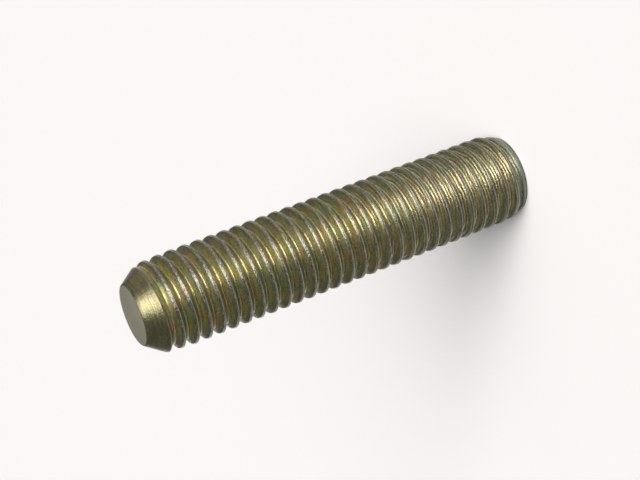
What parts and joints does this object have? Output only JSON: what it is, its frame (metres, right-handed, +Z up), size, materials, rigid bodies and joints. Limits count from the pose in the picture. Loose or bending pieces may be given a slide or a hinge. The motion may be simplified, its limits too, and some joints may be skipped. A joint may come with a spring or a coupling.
{
  "type": "threaded stud",
  "caption": "Fully threaded steel stud with a right-hand coarse metric thread, coned at the upper end and chamfered at the lower; it joins two tapped parts or takes nuts.",
  "frame": {"origin": "centre of the flat lower end face, on the thread's axis", "axes": "+Z up along the thread's axis, towards the coned end; -Y is the side seen in the picture"},
  "size_m": [0.0098, 0.0098, 0.0454],
  "materials": {
    "plated_steel": "yellow passivated zinc plate, satin, with faint iridescence"
  },
  "bodies": {
    "root": {"stud": "plated_steel"}
  },
  "joints": []
}
